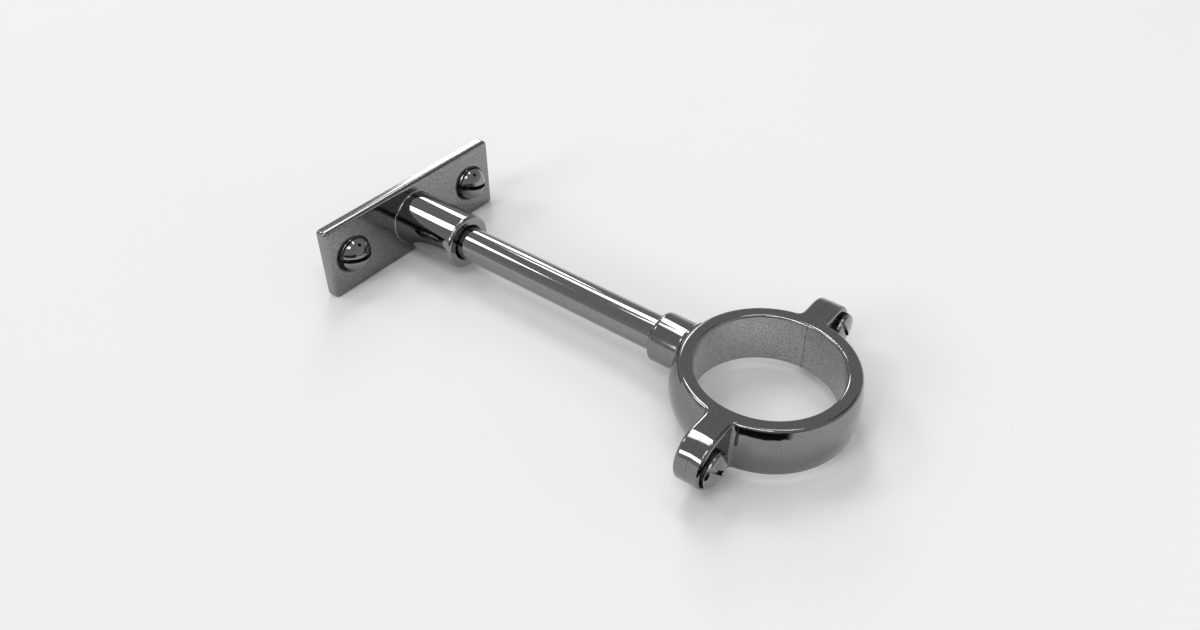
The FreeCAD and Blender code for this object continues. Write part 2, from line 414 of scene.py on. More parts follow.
@dataclass(frozen=True)
class PlateChrome(Chrome):
    """Flat bar plating: satin on the face, bright on the edges, dirt round what stands on it, and painted
    shade and reflection beside the screw heads.
    """

    face: float = -PLATE_THICKNESS
    satin_edge: Pair = (0.44 * MM, 0.05 * MM)
    roll_start: float = -1.5 * MM
    roll_bend: float = 90.0
    boss_radius: float = BOSS_RADIUS
    boss_joint: Pair = (0.45 * MM, 0.05 * MM)
    joints: HeadMarks = HeadMarks(WALL_SCREW_SPACING, WALL_HEAD_RADIUS, (0.0, 0.0), (0.4 * MM, 0.0))
    # Crescents leaning out beside the screw heads: painted shade, and a painted dark reflection of each head
    # in the plate
    shade_crescents: HeadMarks = HeadMarks(
        WALL_SCREW_SPACING, WALL_HEAD_RADIUS, lean=(-1.1 * MM, 0.45 * MM), edge=(0.5 * MM, -0.5 * MM)
    )
    front_share: float = 0.9
    back_line: Pair = (-0.45 * MM, -0.2 * MM)
    back_turn: Pair = (0.95, 0.8)
    back_share: float = 0.8
    cover: Patches = Patches(420.0, 0.35, 0.6)
    cover_share: Pair = (0.9, 1.0)

    def satin(self, sheet: Canvas) -> Feed:
        """The flat of the face, fading out over its softened edge."""
        return sheet.ease(sheet.along, self.face + self.satin_edge[0], self.face + self.satin_edge[1])

    def relief(self, sheet: Canvas) -> Feed:
        """The long edges roll off towards the face, as on drawn bar."""
        past = sheet.most(sheet.math("SUBTRACT", self.roll_start, sheet.along), 0.0)
        return sheet.product(sheet.math("POWER", past, 2.0), -self.roll_bend)

    def dirt_and_shade(self, sheet: Canvas) -> Feed:
        """Dirt in a thin ring round the boss, round each screw head and along the back edge, and a crescent
        beside each screw head that is painted shade and a painted reflection of the head.

        Args:
            sheet: The material's nodes.

        Returns:
            The dirt and painted shade, from 0 to 1.
        """
        boss = sheet.disc(sheet.across, sheet.up, (0.0, 0.0), self.boss_radius, self.boss_joint)
        marks = sheet.most(boss, self.joints.draw(sheet), self.shade_crescents.draw(sheet))
        on_face = sheet.math("LESS_THAN", sheet.along, self.front_share * self.face)
        _, backward, _ = sheet.parts_of(sheet.node("ShaderNodeTexCoord").outputs["Normal"])
        turned_away = sheet.ease(backward, *self.back_turn)
        line = sheet.product(sheet.ease(sheet.along, *self.back_line), turned_away, self.back_share)
        worst = sheet.most(sheet.product(marks, on_face), line)
        return sheet.product(worst, self.cover.lay(sheet, *self.cover_share))


@dataclass(frozen=True)
class CastChrome(Chrome):
    """Plated casting: bright outside with the swell of the casting, satin in the pipe's bore."""

    ring_centre: float = -129.0 * MM
    bore_radius: float = 19.0 * MM
    satin_edge: Pair = (0.35 * MM, 0.07 * MM)
    bore_mouth: Pair = (0.7 * MM, 0.0)
    split_line: Pair = (0.2 * MM, 0.06 * MM)
    lug_face: float = LUG_FACE
    lug_margin: float = 0.2 * MM
    # Crescents beside the clamp screws' heads on the lugs: painted shade
    shade_crescents: HeadMarks = HeadMarks(
        CLAMP_SCREW_SPACING, radius=4.75 * MM, lean=(-0.7 * MM, 0.3 * MM), edge=(0.35 * MM, 0.0)
    )
    cover: Patches = Patches(350.0, 0.4, 0.65)
    cover_share: Pair = (0.2, 0.7)

    def bore(self, sheet: Canvas, edge: Pair) -> Socket:
        """The wall of the bore, fading out over an edge."""
        return sheet.disc(sheet.across, sheet.along, (0.0, self.ring_centre), self.bore_radius, edge)

    def satin(self, sheet: Canvas) -> Feed:
        """The wall of the bore, short of its softened edge."""
        return self.bore(sheet, self.satin_edge)

    def dirt_and_shade(self, sheet: Canvas) -> Feed:
        """Dirt in a faint line along the split between the halves, and a crescent of painted shade beside
        each clamp screw's head.

        Args:
            sheet: The material's nodes.

        Returns:
            The dirt and painted shade, from 0 to 1.
        """
        off = sheet.math("ABSOLUTE", sheet.math("SUBTRACT", sheet.along, self.ring_centre))
        cover = self.cover.lay(sheet, *self.cover_share)
        split = sheet.product(sheet.ease(off, *self.split_line), self.bore(sheet, self.bore_mouth), cover)
        before = sheet.math("LESS_THAN", sheet.along, self.lug_face + self.lug_margin)
        return sheet.most(split, sheet.product(self.shade_crescents.draw(sheet), before))


@dataclass(frozen=True)
class TurnedChrome(Chrome):
    """Plating on turned bar: faint rings left by the lathe under the polish."""

    drawn_out: float = 0.08
    lay: float = 14.0

    def grain_place(self, sheet: Canvas) -> Socket:
        """Fine grain drawn out round the bar and close along it."""
        scale = (self.drawn_out, self.lay * self.drawn_out, self.drawn_out)
        return sheet.node("ShaderNodeMapping", {"Vector": sheet.place, "Scale": scale}).outputs[0]


@dataclass(frozen=True)
class ScrewChrome(Chrome):
    """Plating on slotted screws: bright heads, with painted shade in the slots and round their feet."""

    spacing: float = WALL_SCREW_SPACING
    slot_turns: Pair = (-6.0, -12.0)
    slot_width: float = 1.3 * MM
    slot_edge: Pair = (0.05 * MM, 0.01 * MM)
    slot_clean: float = -20.0 * MM
    slot_fade: float = 0.8 * MM
    head_reach: float = 8.0 * MM
    seat: float = -PLATE_THICKNESS
    bead: float = 0.3 * MM
    bead_fade: float = 0.15 * MM
    rim: float = 1.2 * MM
    rim_fade: float = 0.4 * MM
    wander: Patches = Patches(260.0, 0.3, 0.7, 2.0)
    wander_reach: float = 0.12 * MM
    cover: Patches = Patches(500.0, 0.35, 0.6)
    cover_share: Pair = (0.85, 1.0)

    def slots(self, sheet: Canvas) -> tuple[Feed, Feed]:
        """The inside of the slots.

        Args:
            sheet: The material's nodes.

        Returns:
            Where the slots are bare, and where shade is painted in them.
        """
        on_head = sheet.math("LESS_THAN", sheet.along, self.seat)
        end, whole = (self.slot_width / 2.0 + past for past in self.slot_edge)
        clean, slot_shade = 0.0, 0.0
        for centre, turn in zip(both_sides(self.spacing), self.slot_turns):
            aside = sheet.math("SUBTRACT", sheet.across, centre)
            run, off = sheet.turned(aside, sheet.up, math.radians(turn))
            cut = sheet.ease(sheet.math("ABSOLUTE", off), end, whole)
            near = sheet.math("LESS_THAN", sheet.math("ABSOLUTE", aside), self.head_reach)
            inside = sheet.product(cut, near, on_head)
            # Past its clean end the slot is painted dark: painted shade in the recess
            soil = sheet.product(inside, sheet.ease(run, self.slot_clean, self.slot_clean + self.slot_fade))
            slot_shade = sheet.most(slot_shade, soil)
            clean = sheet.most(clean, sheet.math("SUBTRACT", inside, soil))
        return clean, slot_shade

    def satin(self, sheet: Canvas) -> Feed:
        """The bare cut metal of the slots where no shade is painted."""
        return self.slots(sheet)[0]

    def dirt_and_shade(self, sheet: Canvas) -> Feed:
        """Painted shade: the inside of each slot past its clean end, and a band round the foot of each head.

        Args:
            sheet: The material's nodes.

        Returns:
            The painted shade, from 0 to 1.
        """
        # A dark band round the foot of each head: painted shade where the head meets the surface below
        wander = self.wander.lay(sheet, -self.wander_reach, self.wander_reach)
        level = sheet.math("ADD", sheet.math("SUBTRACT", self.seat, sheet.along), wander)
        begun = sheet.ease(level, self.bead, self.bead + self.bead_fade)
        band = sheet.product(begun, sheet.ease(level, self.rim, self.rim - self.rim_fade))
        worst = sheet.most(band, self.slots(sheet)[1])
        return sheet.product(worst, self.cover.lay(sheet, *self.cover_share))


@dataclass(frozen=True)
class Paper:
    """Pale matt paper of the studio floor, even out to the horizon."""

    name: str = "studio_paper"
    white: float = 0.9
    matt: float = 0.4
    fleck_scale: float = 9.0
    fleck_detail: float = 4.0
    fleck_depth: float = 0.01
    far_white: float = 0.86
    near: float = 0.45
    far: float = 1.3

    def material(self) -> bpy.types.Material:
        """Builds the paper.

        Returns:
            A new node material.
        """
        sheet = Canvas(self.name)
        fleck = sheet.noise(sheet.place, self.fleck_scale, self.fleck_detail)
        tone = sheet.blend(fleck, grey(self.white * (1.0 - self.fleck_depth)), grey(self.white))
        lit = sheet.node("ShaderNodeBsdfDiffuse", {"Color": tone, "Roughness": self.matt}).outputs[0]
        off = sheet.ease(sheet.reach(sheet.across, sheet.along), self.near, self.far)
        ray = sheet.node("ShaderNodeLightPath").outputs
        seen = sheet.most(ray["Is Camera Ray"], ray["Is Glossy Ray"], ray["Is Transmission Ray"])
        even = sheet.node("ShaderNodeEmission", {"Color": grey(1.0), "Strength": self.far_white}).outputs[0]
        return sheet.done(sheet.shared(sheet.product(off, seen), lit, even))


@dataclass(frozen=True)
class Corner:
    """One corner of a turned profile, as names of the tree's inputs."""

    radius: str
    along: str
    rounding: str = "Sharp"


class GeometryTree:
    """Geometry Nodes tree with named sizes that is turned into a plain mesh."""

    CREASE = math.radians(30.0)

    def __init__(self, name: str, sizes: dict[str, float]) -> None:
        """Makes the tree and its inputs.

        Args:
            name: Name of the tree and of the piece that it makes.
            sizes: Named lengths in metres.
        """
        self.name = name
        self.sizes = sizes
        self.tree = bpy.data.node_groups.new(name, "GeometryNodeTree")
        face = self.tree.interface
        for size in sizes:
            face.new_socket(size, in_out="INPUT", socket_type="NodeSocketFloat")
        face.new_socket("Finish", in_out="INPUT", socket_type="NodeSocketMaterial")
        face.new_socket("Geometry", in_out="OUTPUT", socket_type="NodeSocketGeometry")
        self.sheet = Wiring(self.tree)
        self.given = self.sheet.node("NodeGroupInput").outputs

    def point(self, **parts: Feed) -> Socket:
        """Joins numbers into a vector."""
        return self.sheet.node("ShaderNodeCombineXYZ", parts).outputs[0]

    def close(self, geometry: Socket) -> None:
        """Ends the tree with real geometry in the given finish.

        Args:
            geometry: What the tree has made.
        """
        real = self.sheet.node("GeometryNodeRealizeInstances", {"Geometry": geometry}).outputs[0]
        smooth = self.sheet.node("GeometryNodeSetShadeSmooth", {"Geometry": real}).outputs[0]
        feeds = {"Geometry": smooth, "Material": self.given["Finish"]}
        dressed = self.sheet.node("GeometryNodeSetMaterial", feeds).outputs[0]
        self.sheet.node("NodeGroupOutput", {"Geometry": dressed})

    def piece(self, finish: bpy.types.Material) -> bpy.types.Object:
        """Runs the tree once and keeps the mesh.

        Args:
            finish: Material of the piece.

        Returns:
            A plain mesh object at the origin.
        """
        holder = stand(self.name, bpy.data.meshes.new(self.name))
        modifier = holder.modifiers.new("shape", "NODES")
        modifier.node_group = self.tree
        for item in self.tree.interface.items_tree:
            if item.in_out == "INPUT":
                modifier[item.identifier] = self.sizes.get(item.name, finish)
        mesh = settled(holder)
        holder.modifiers.clear()
        holder.data = mesh
        mesh.name = self.name
        mesh.set_sharp_from_angle(angle=self.CREASE)
        return holder


class Lathe(GeometryTree):
    """Turns a profile of named radii and stations about the rod's axis."""

    SEGMENTS = 160
    ROUND_STEPS = 14
    MERGE_REACH = 0.001 * MM

    def __init__(self, name: str, sizes: dict[str, float], corners: list[Corner]) -> None:
        """Lays out the tree for a profile that runs from one end of the axis to the other."""
        super().__init__(name, {"Sharp": 0.0} | sizes)
        self.close(self.swept(self.profile(corners)))

    def profile(self, corners: list[Corner]) -> Socket:
        """Draws the profile.

        Args:
            corners: The profile from one end of the axis to the other.

        Returns:
            A curve with its radius along X and its station along Y.
        """
        sheet, given = self.sheet, self.given
        line = sheet.node("GeometryNodeMeshLine", {"Count": len(corners)}).outputs[0]
        index = sheet.node("GeometryNodeInputIndex").outputs[0]
        places = self.listed(index, "VECTOR", len(corners))
        rounds = self.listed(index, "FLOAT", len(corners))
        for slot, corner in enumerate(corners, start=1):
            sheet.feed(places.inputs[slot], self.point(X=given[corner.radius], Y=given[corner.along]))
            sheet.feed(rounds.inputs[slot], given[corner.rounding])
        set_out = sheet.node("GeometryNodeSetPosition", {"Geometry": line, "Position": places.outputs[0]})
        curve = sheet.node("GeometryNodeMeshToCurve", {0: set_out.outputs[0]}).outputs[0]
        feeds = {"Curve": curve, "Count": self.ROUND_STEPS, "Radius": rounds.outputs[0]}
        return sheet.node("GeometryNodeFilletCurve", feeds, mode="POLY").outputs[0]

    def listed(self, index: Socket, kind: str, count: int) -> bpy.types.Node:
        """Adds an Index Switch with one place for each corner.

        Args:
            index: Number of the corner.
            kind: Blender's name for the type of the values.
            count: Number of corners.

        Returns:
            The switch, with its places still to be fed.
        """
        switch = self.sheet.node("GeometryNodeIndexSwitch", data_type=kind)
        while len(switch.index_switch_items) < count:
            switch.index_switch_items.new()
        self.sheet.feed(switch.inputs["Index"], index)
        return switch

    def swept(self, profile: Socket) -> Socket:
        """Wraps a grid round the axis, one row for each point of the profile.

        Args:
            profile: The curve of radii and stations.

        Returns:
            The closed mesh.
        """
        sheet = self.sheet
        feeds = {"Geometry": profile}
        count = sheet.node("GeometryNodeAttributeDomainSize", feeds, component="CURVE").outputs["Point Count"]
        feeds = {"Size X": 1.0, "Size Y": 1.0, "Vertices X": count, "Vertices Y": self.SEGMENTS + 1}
        grid = sheet.node("GeometryNodeMeshGrid", feeds).outputs["Mesh"]
        place = sheet.node("GeometryNodeInputPosition").outputs[0]
        across, around, _ = sheet.parts_of(place)
        step = sheet.product(sheet.math("ADD", across, 0.5), sheet.math("SUBTRACT", count, 1.0))
        feeds = {"Geometry": profile, "Value": place, "Index": sheet.math("ROUND", step)}
        sample = sheet.node("GeometryNodeSampleIndex", feeds, data_type="FLOAT_VECTOR", domain="POINT")
        radius, along, _ = sheet.parts_of(sample.outputs[0])
        turn = sheet.product(sheet.math("ADD", around, 0.5), math.tau)
        wrapped = self.point(
            X=sheet.product(radius, sheet.math("COSINE", turn)),
            Y=sheet.product(along, -1.0),
            Z=sheet.product(radius, sheet.math("SINE", turn)),
        )
        shaped = sheet.node("GeometryNodeSetPosition", {"Geometry": grid, "Position": wrapped}).outputs[0]
        feeds = {"Geometry": shaped, "Distance": self.MERGE_REACH}
        return sheet.node("GeometryNodeMergeByDistance", feeds).outputs[0]


class ScrewThread(GeometryTree):
    """Winds a ridge round each wall screw's shank, running out on its point."""

    SCREWS = 2
    STEPS_IN_A_TURN = 56
    RIDGE_SIDES = 6
    # Where along the ridge its height changes, from start to end, and from which share to which
    RUN_IN = (0.0, 0.14, 0.05, 1.0)
    RUN_OUT = (0.6, 1.0, 1.0, 0.3)

    def __init__(self, name: str, sizes: dict[str, float], turns: float) -> None:
        """Lays out the tree for a ridge of so many turns."""
        super().__init__(name, sizes)
        self.close(self.on_each_screw(self.ridge(self.path(turns))))

    def path(self, turns: float) -> Socket:
        """Winds a helix round the shank, drawn in over its point.

        Args:
            turns: Turns of the helix.

        Returns:
            The curve, standing along Z.
        """
        sheet, given = self.sheet, self.given
        feeds = {
            "Resolution": self.STEPS_IN_A_TURN,
            "Rotations": turns,
            "Start Radius": given["Core Radius"],
            "End Radius": given["Core Radius"],
            "Height": given["Thread Length"],
        }
        spiral = sheet.node("GeometryNodeCurveSpiral", feeds).outputs[0]
        across, deep, along = sheet.parts_of(sheet.node("GeometryNodeInputPosition").outputs[0])
        straight = sheet.math("SUBTRACT", given["Thread Length"], given["Point Length"])
        gone = sheet.math("DIVIDE", sheet.math("SUBTRACT", along, straight), given["Point Length"])
        taper = sheet.math("DIVIDE", given["Tip Radius"], given["Core Radius"])
        feeds = {"Value": gone, "From Min": 0.0, "From Max": 1.0, "To Min": 1.0, "To Max": taper}
        narrow = sheet.node("ShaderNodeMapRange", feeds).outputs[0]
        tapered = self.point(X=sheet.product(across, narrow), Y=sheet.product(deep, narrow), Z=along)
        wound = sheet.node("GeometryNodeSetPosition", {"Geometry": spiral, "Position": tapered}).outputs[0]
        return sheet.node("GeometryNodeSetCurveNormal", {"Curve": wound}, mode="Z_UP").outputs[0]

    def ridge(self, path: Socket) -> Socket:
        """Sweeps the ridge along the helix, thin at both ends.

        Args:
            path: The helix.

        Returns:
            The ridge's mesh, lying along the screw's axis.
        """
        sheet = self.sheet
        way = sheet.node("GeometryNodeSplineParameter").outputs["Factor"]
        height = sheet.product(sheet.ease(way, *self.RUN_IN), sheet.ease(way, *self.RUN_OUT))
        faded = sheet.node("GeometryNodeSetCurveRadius", {"Curve": path, "Radius": height}).outputs[0]
        feeds = {"Resolution": self.RIDGE_SIDES, "Radius": self.given["Ridge"]}
        feeds = {
            "Curve": faded,
            "Profile Curve": sheet.node("GeometryNodeCurvePrimitiveCircle", feeds).outputs[0],
            "Scale": sheet.node("GeometryNodeInputRadius").outputs[0],
            "Fill Caps": True,
        }
        mesh = sheet.node("GeometryNodeCurveToMesh", feeds).outputs[0]
        feeds = {"Geometry": mesh, "Rotation": (-math.pi / 2, 0.0, 0.0)}
        return sheet.node("GeometryNodeTransform", feeds).outputs[0]

    def on_each_screw(self, thread: Socket) -> Socket:
        """Puts one thread on each screw.

        Args:
            thread: The ridge's mesh.

        Returns:
            The threads, as instances.
        """
        sheet, given = self.sheet, self.given
        first = self.point(X=sheet.product(given["Screw Spacing"], -0.5), Y=given["Thread Start"])
        step = self.point(X=given["Screw Spacing"])
        feeds = {"Count": self.SCREWS, "Start Location": first, "Offset": step}
        feeds = {"Points": sheet.node("GeometryNodeMeshLine", feeds).outputs[0], "Instance": thread}
        return sheet.node("GeometryNodeInstanceOnPoints", feeds).outputs[0]


def carry(piece: bpy.types.Object, slot: str, *nodes: str) -> None:
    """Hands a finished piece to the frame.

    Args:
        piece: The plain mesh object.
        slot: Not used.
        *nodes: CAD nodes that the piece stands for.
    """
    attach(piece, "root")
    if nodes:
        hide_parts(*nodes)
    log.info("built %s, %d faces", piece.name, len(piece.data.polygons))


def recast(node: str, name: str, finish: bpy.types.Material, slot: str) -> None:
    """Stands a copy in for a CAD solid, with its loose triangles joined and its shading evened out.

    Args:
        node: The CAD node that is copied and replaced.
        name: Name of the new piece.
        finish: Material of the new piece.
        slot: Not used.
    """
    sheet = bmesh.new()
    sheet.from_mesh(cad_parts[node].data)
    bmesh.ops.remove_doubles(sheet, verts=sheet.verts, dist=JOIN_REACH)
    bmesh.ops.dissolve_degenerate(sheet, edges=sheet.edges, dist=JOIN_REACH)
    for face in sheet.faces:
        face.smooth = True
    for edge in sheet.edges:
        edge.smooth = edge.calc_face_angle(0.0) < CAST_CREASE
    mesh = bpy.data.meshes.new(name)
    sheet.to_mesh(mesh)
    sheet.free()
    if "custom_normal" in mesh.attributes:
        mesh.attributes.remove(mesh.attributes["custom_normal"])
    source = stand(f"{name}_source", mesh)
    source.modifiers.new("even_shading", "WEIGHTED_NORMAL").keep_sharp = True
    plain = settled(source)
    bpy.data.objects.remove(source)
    plain.name = name
    plain.materials.clear()
    plain.materials.append(finish)
    carry(stand(name, plain), slot, node)


@dataclass
class WallPlate:
    """Flat plate against the wall."""

    finish: Chrome = PlateChrome("plate_chrome", polish=0.14, ripple_depth=0.06 * MM)

    def build(self) -> None:
        """Recasts the plate in its finish."""
        recast("wall_plate", "flat_plate", self.finish.material(), "polished_chrome")


@dataclass
class StandOff:
    """Turned boss on the plate and the bright rod that stands in it."""

    spigot_radius: float = 5.0 * MM
    seat: float = PLATE_THICKNESS
    boss_radius: float = BOSS_RADIUS
    boss_front: float = 26.5 * MM
    rim_round: float = 1.0 * MM
    foot_fillet: float = 0.5 * MM
    foot_reach: float = 0.495 * MM
    margin: float = 0.06 * MM
    bore_radius: float = 5.3 * MM
    bore_bottom: float = 8.5 * MM
    mouth_chamfer: float = 0.4 * MM
    rod_radius: float = 5.0 * MM
    rod_finish: float = 106.8 * MM
    rod_chamfer: float = 0.5 * MM
    finish: Chrome = TurnedChrome("turned_chrome")

    def build(self) -> None:
        """Turns both pieces and puts them in place of their CAD solids."""
        material = self.finish.material()
        carry(self.boss().piece(material), "polished_chrome", "rod_boss")
        carry(self.rod().piece(material), "polished_chrome", "support_rod")

    def boss(self) -> Lathe:
        """Lays out the boss.

        Returns:
            The boss: spigot, seat, rounded rim, mouth and blind bore.
        """
        sizes = {
            "Axis": 0.0,
            "Back": 0.0,
            "Spigot Radius": self.spigot_radius,
            "Seat": self.seat,
            "Foot Radius": self.boss_radius + self.foot_fillet,
            "Foot Fillet": self.foot_reach,
            "Foot Top": self.seat + self.foot_fillet + self.margin,
            "Boss Radius": self.boss_radius,
            "Rim Side": self.boss_front - self.rim_round - self.margin,
            "Boss Front": self.boss_front,
            "Rim Round": self.rim_round,
            "Rim Face": self.boss_radius - self.rim_round - self.margin,
            "Mouth Radius": self.bore_radius + self.mouth_chamfer,
            "Mouth Depth": self.boss_front - self.mouth_chamfer,
            "Bore Radius": self.bore_radius,
            "Bore Bottom": self.bore_bottom,
        }
        corners = [
            Corner("Axis", "Back"),
            Corner("Spigot Radius", "Back"),
            Corner("Spigot Radius", "Seat"),
            Corner("Foot Radius", "Seat"),
            Corner("Boss Radius", "Seat", "Foot Fillet"),
            Corner("Boss Radius", "Foot Top"),
            Corner("Boss Radius", "Rim Side"),
            Corner("Boss Radius", "Boss Front", "Rim Round"),
            Corner("Rim Face", "Boss Front"),
            Corner("Mouth Radius", "Boss Front"),
            Corner("Bore Radius", "Mouth Depth"),
            Corner("Bore Radius", "Bore Bottom"),
            Corner("Axis", "Bore Bottom"),
        ]
        return Lathe("turned_boss", sizes, corners)

    def rod(self) -> Lathe:
        """Lays out the rod.

        Returns:
            The rod: a plain bar with chamfered ends, from the bottom of the boss's bore.
        """
        sizes = {
            "Axis": 0.0,
            "Rod Start": self.bore_bottom,
            "End Radius": self.rod_radius - self.rod_chamfer,
            "Rod Radius": self.rod_radius,
            "Start Chamfer": self.bore_bottom + self.rod_chamfer,
            "Finish Chamfer": self.rod_finish - self.rod_chamfer,
            "Rod Finish": self.rod_finish,
        }
        corners = [
            Corner("Axis", "Rod Start"),
            Corner("End Radius", "Rod Start"),
            Corner("Rod Radius", "Start Chamfer"),
            Corner("Rod Radius", "Finish Chamfer"),
            Corner("End Radius", "Rod Finish"),
            Corner("Axis", "Rod Finish"),
        ]
        return Lathe("bright_rod", sizes, corners)


@dataclass
class RingClamp:
    """Split ring round the pipe and the two screws that close it."""

    cast: Chrome = CastChrome(
        "cast_chrome_bright",
        tint=(0.254, 0.257, 0.261),
        polish=0.06,
        ripple_depth=0.16 * MM,
        ripple_scale=65.0,
        satin_polish=0.2,
        grain_depth=0.0006 * MM,
        grain_scale=2300.0,
        mottle=0.14,
        satin_mottle=0.36,
        satin_gain=1.75,
    )
    screws: Chrome = ScrewChrome(
        "clamp_screw_chrome",
        spacing=CLAMP_SCREW_SPACING,
        slot_turns=(-46.0, -58.0),
        slot_width=1.2 * MM,
        # Shade is painted in each slot past 0.6 mm from its near end, and round each head's foot
        slot_clean=0.6 * MM,
        seat=LUG_FACE,
        bead=-0.2 * MM,
        rim=1.1 * MM,
        satin_polish=0.35,
        satin_mottle=0.1,
        satin_gain=1.3,
    )

    def build(self) -> None:
        """Recasts the ring's halves and its screws in their finishes."""
        cast = self.cast.material()
        recast("ring_rear_half", "cast_rear_half", cast, "cast_chrome")
        recast("ring_front_half", "cast_front_half", cast, "cast_chrome")
        recast("clamp_screws", "clamp_screw_pair", self.screws.material(), "screw_chrome")


@dataclass
class WallScrews:
    """Two round head screws and the threads on their shanks."""

    core_radius: float = 2.2 * MM
    ridge: float = 0.32 * MM
    tip_radius: float = 0.4 * MM
    thread_start: float = 0.7 * MM
    thread_length: float = 11.0 * MM
    point_length: float = 4.5 * MM
    spacing: float = WALL_SCREW_SPACING
    turns: float = 7.0
    # This finish paints shade in the whole of each slot and round each head's foot
    finish: Chrome = ScrewChrome("wall_screw_chrome")

    def build(self) -> None:
        """Recasts the screws in their finish and winds their threads."""
        material = self.finish.material()
        recast("wall_screws", "wall_screw_pair", material, "screw_chrome")
        sizes = {
            "Core Radius": self.core_radius,
            "Ridge": self.ridge,
            "Tip Radius": self.tip_radius,
            "Thread Start": self.thread_start,
            "Thread Length": self.thread_length,
            "Point Length": self.point_length,
            "Screw Spacing": self.spacing,
        }
        thread = ScrewThread("wall_screw_threads", sizes, self.turns)
        carry(thread.piece(material), "screw_chrome")


class Side(Enum):
    """Softboxes round the bracket, named by where they hang."""

    RIGHT_LOW = "right_low"
    RIGHT_HIGH = "right_high"
    BACK = "back"
    TOP_BACK = "top_back"
    TOP_RIGHT = "top_right"
    LEFT = "left"
    LEFT_HIGH = "left_high"
    FRONT = "front"


def compass(azimuth: float, elevation: float) -> Vector:
    """Direction at an azimuth from +X and an elevation from the floor, both in degrees."""
    turn, rise = math.radians(azimuth), math.radians(elevation)
    return Vector((math.cos(turn) * math.cos(rise), math.sin(turn) * math.cos(rise), math.sin(rise)))


@dataclass(frozen=True)
class Softbox:
    """One soft lamp, placed and sized by the angles, in degrees, at which the bracket sees it."""

    side: Side
    azimuth: float
    elevation: float
    width: float
    height: float
    radiance: float

    def hang(self, target: Vector, distance: float) -> None:
        """Hangs the lamp.

        Args:
            target: The point that it faces.
            distance: How far off it hangs, in metres.
        """
        way = compass(self.azimuth, self.elevation)
        lamp = bpy.data.lights.new(f"softbox_{self.side.value}", "AREA")
        lamp.shape = "RECTANGLE"
        lamp.size = 2.0 * distance * math.tan(math.radians(self.width) / 2.0)
        lamp.size_y = 2.0 * distance * math.tan(math.radians(self.height) / 2.0)
        lamp.energy = self.radiance * math.pi * lamp.size * lamp.size_y
        holder = stand(lamp.name, lamp)
        holder.location = target + distance * way
        holder.rotation_euler = (-way).to_track_quat("-Z", "Y").to_euler()


